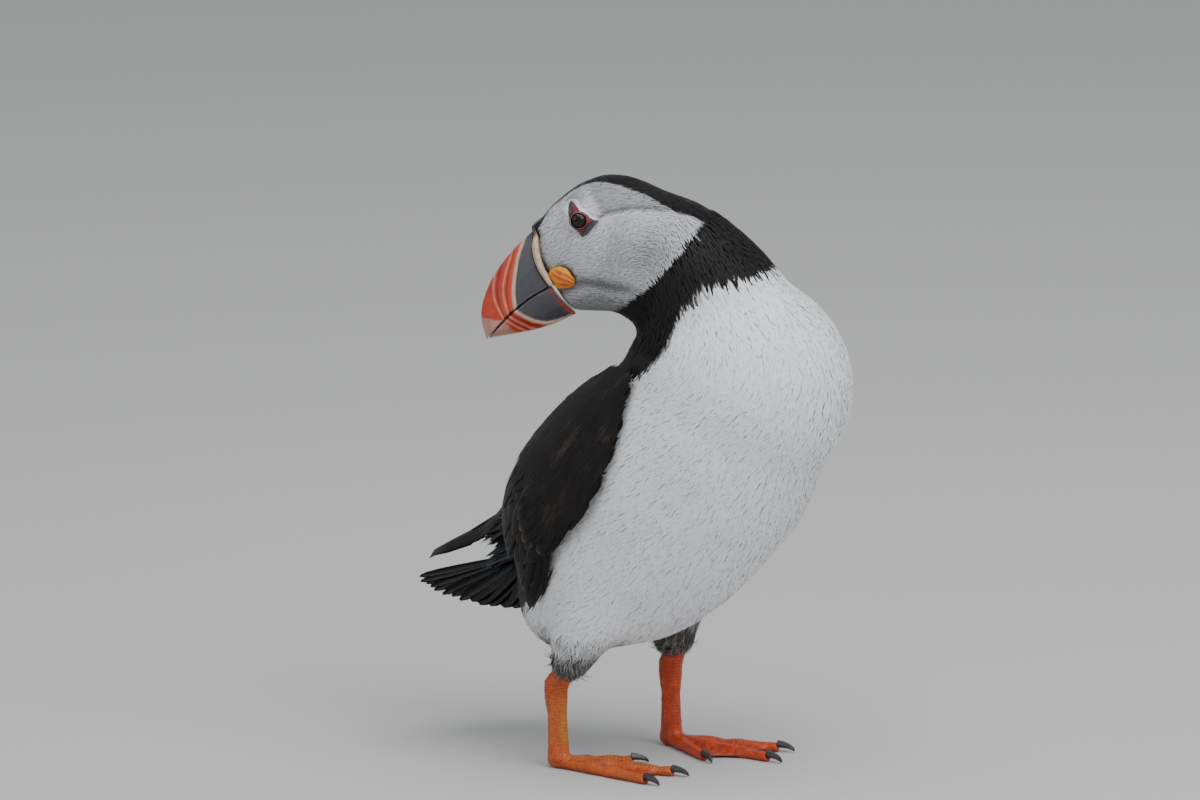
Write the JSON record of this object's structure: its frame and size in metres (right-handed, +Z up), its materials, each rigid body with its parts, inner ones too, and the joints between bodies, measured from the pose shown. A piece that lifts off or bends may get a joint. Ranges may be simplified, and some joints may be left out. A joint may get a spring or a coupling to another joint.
{
  "type": "atlantic puffin",
  "caption": "Still, life-size atlantic puffin standing with its head turned back over its right shoulder, wings folded, with a deep banded bill and webbed feet.",
  "frame": {"origin": "on the floor, under the middle of the bird's box", "axes": "+Z up; the breast faces -Y, the bird's right side is at -X, and the head is turned back over the right shoulder"},
  "size_m": [0.0982, 0.1742, 0.2277],
  "materials": {
    "white_plumage": "soft matt feathers, clean white",
    "black_plumage": "soft matt feathers, black",
    "wing_feathers": "sleek brown-black vanes",
    "bill_horn": "grooved horn, slate blue at the base, orange red with pale bands towards the tip",
    "ridge_horn": "cream horn, finely pitted",
    "rosette_skin": "wrinkled bare skin, orange yellow",
    "eye": "wet, glossy, dark brown",
    "leg_skin": "finely scaled skin, red orange",
    "claw_horn": "smooth black horn"
  },
  "bodies": {
    "root": {"head": "white_plumage", "neck": "black_plumage", "trunk": "white_plumage", "thigh_left": "white_plumage", "thigh_right": "white_plumage", "wing_left": "wing_feathers", "wing_right": "wing_feathers", "tail": "wing_feathers", "bill_upper": "bill_horn", "bill_lower": "bill_horn", "bill_ridge": "ridge_horn", "rosette_left": "rosette_skin", "rosette_right": "rosette_skin", "eye_left": "eye", "eye_right": "eye", "tarsus_left": "leg_skin", "tarsus_right": "leg_skin", "foot_left": "leg_skin", "foot_right": "leg_skin", "claw_inner_left": "claw_horn", "claw_middle_left": "claw_horn", "claw_outer_left": "claw_horn", "claw_inner_right": "claw_horn", "claw_middle_right": "claw_horn", "claw_outer_right": "claw_horn"}
  },
  "joints": []
}
